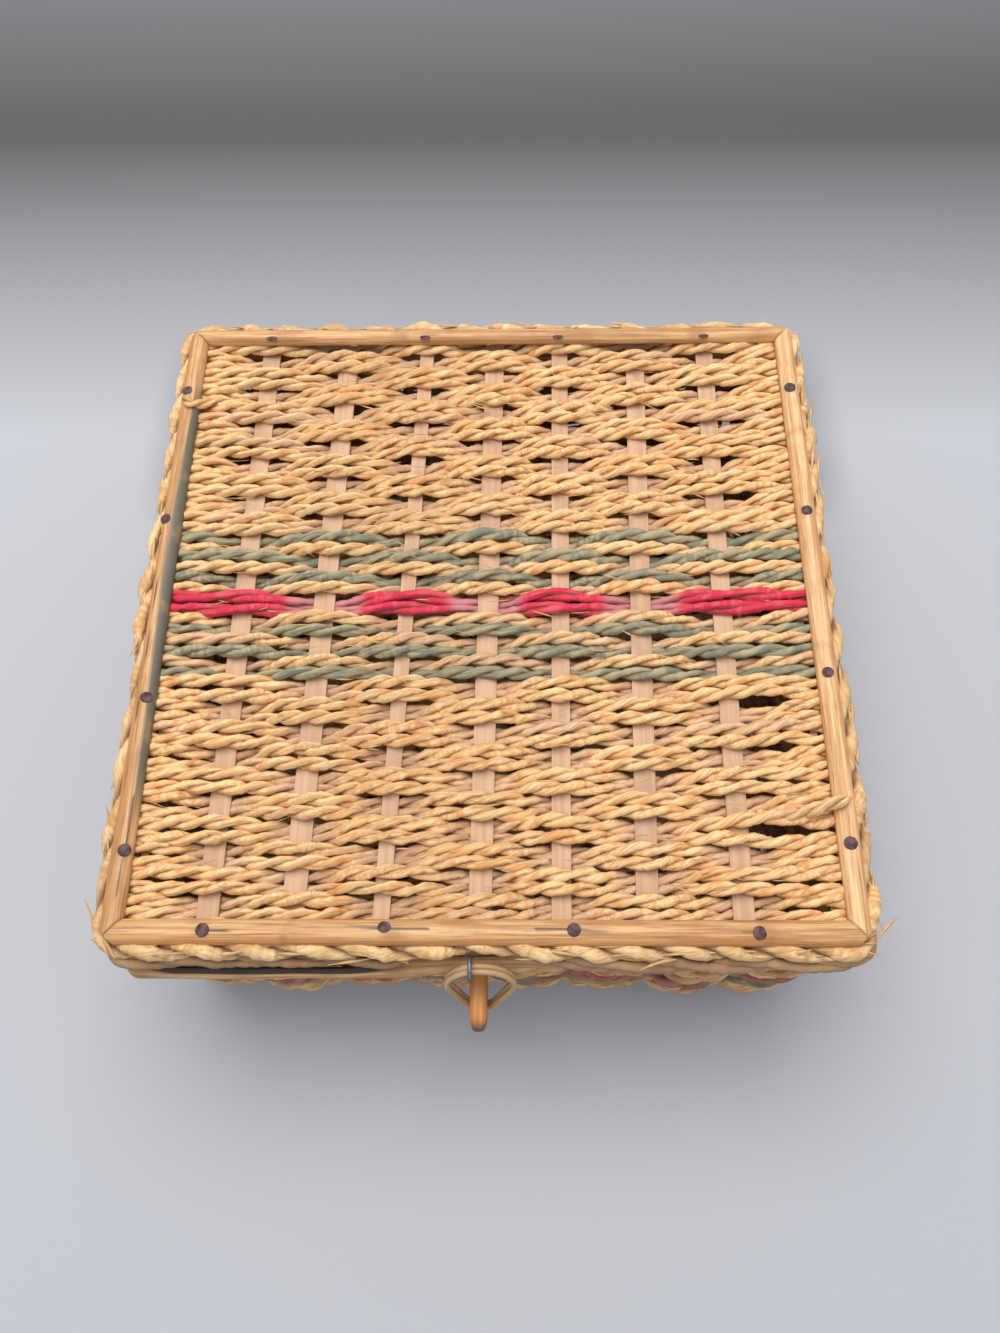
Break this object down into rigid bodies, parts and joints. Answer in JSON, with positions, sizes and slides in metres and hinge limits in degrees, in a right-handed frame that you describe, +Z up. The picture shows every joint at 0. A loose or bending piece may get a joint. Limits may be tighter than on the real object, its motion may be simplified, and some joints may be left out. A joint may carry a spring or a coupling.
{
  "type": "woven lidded box",
  "caption": "Square woven cane and grass box with a hinged flat lid, nailed cane rails and a hanging ring latch over a bent cane staple.",
  "frame": {"origin": "middle of the base's underside, on the middle cross splint", "axes": "+Z up, -Y to the front where the latch is, +X to the right seen from the front"},
  "size_m": [0.2428, 0.2619, 0.0974],
  "materials": {
    "straw_cord": "matte twisted grass cord",
    "green_cord": "matte dyed grass cord",
    "red_cord": "matte dyed grass cord",
    "splint": "satin split wood",
    "cane": "glossy split cane",
    "braid": "matte braided rush",
    "wire": "dull wire",
    "bent_cane": "smooth bent cane"
  },
  "bodies": {
    "basket": {"body_splint_long_1": "splint", "body_splint_long_2": "splint", "body_splint_long_3": "splint", "body_splint_long_4": "splint", "body_splint_long_5": "splint", "body_splint_long_6": "splint", "body_splint_long_7": "splint", "body_splint_long_8": "splint", "body_splint_cross_1": "splint", "body_splint_cross_2": "splint", "body_splint_cross_3": "splint", "body_splint_cross_4": "splint", "body_splint_cross_5": "splint", "body_splint_cross_6": "splint", "body_splint_cross_7": "splint", "body_splint_cross_8": "splint", "body_splint_cross_9": "splint", "base_weft": "straw_cord", "wall_weft_lower_straw": "straw_cord", "wall_weft_lower_green": "green_cord", "wall_weft_red": "red_cord", "wall_weft_upper_green": "green_cord", "wall_weft_upper_straw": "straw_cord", "rim_rail_front": "cane", "rim_rail_left": "cane", "rim_rail_right": "cane", "rim_rod_back": "cane", "rim_inner": "cane", "latch_staple": "bent_cane"},
    "lid": {"lid_splint_1": "splint", "lid_splint_2": "splint", "lid_splint_3": "splint", "lid_splint_4": "splint", "lid_splint_5": "splint", "lid_splint_6": "splint", "lid_splint_7": "splint", "lid_splint_8": "splint", "lid_splint_9": "splint", "lid_weft_front_straw": "straw_cord", "lid_weft_front_green": "green_cord", "lid_weft_red": "red_cord", "lid_weft_back_green": "green_cord", "lid_weft_back_straw": "straw_cord", "lid_rail_front": "cane", "lid_rail_back": "cane", "lid_rail_left": "cane", "lid_rail_right": "cane", "lid_under_rail_front": "cane", "lid_under_rail_back": "cane", "lid_under_rail_left": "cane", "lid_under_rail_right": "cane", "lid_edge_braid": "braid", "latch_wire": "wire", "hinge_loop_left": "wire", "hinge_loop_right": "wire"},
    "latch_ring": {"latch_ring": "cane"}
  },
  "joints": [
    {"name": "lid_hinge", "type": "hinge", "parent": "basket", "child": "lid", "pos_m": [0, 0.1179, 0.07826], "axis": [-1, 0, 0], "range_deg": [0, 100]},
    {"name": "latch_ring_swing", "type": "hinge", "parent": "lid", "child": "latch_ring", "pos_m": [-0.0022, -0.1205, 0.088], "axis": [-1, 0, 0], "range_deg": [0, 148]}
  ]
}
